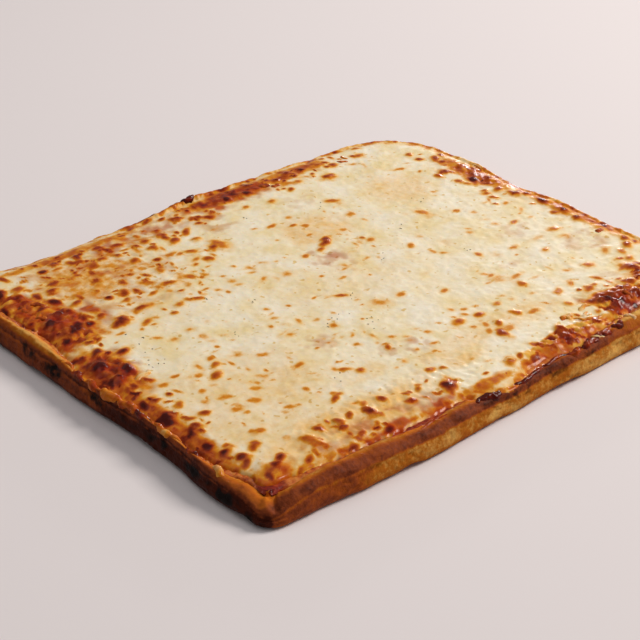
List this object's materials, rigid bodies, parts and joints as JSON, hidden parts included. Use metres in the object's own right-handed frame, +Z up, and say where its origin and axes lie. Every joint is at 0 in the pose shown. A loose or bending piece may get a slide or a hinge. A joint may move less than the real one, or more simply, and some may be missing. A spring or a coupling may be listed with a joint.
{
  "type": "sicilian pizza",
  "caption": "Whole uncut rectangular Sicilian pizza: a thick pan-baked crust with a browned uneven rim, tomato sauce, and a blistered sheet of melted cheese.",
  "frame": {"origin": "the middle of the pizza's flat base", "axes": "+X along the long side, +Y along the short side, +Z up out of the cheese; the pictured corner is at -X, -Y"},
  "size_m": [0.4052, 0.3408, 0.0198],
  "materials": {
    "crust": "baked bread, matt, browned at the rim",
    "sauce": "cooked tomato, wet",
    "cheese": "melted cheese, satin with an oily sheen, browned in spots"
  },
  "bodies": {
    "root": {"crust": "crust", "sauce": "sauce", "cheese": "cheese"}
  },
  "joints": []
}
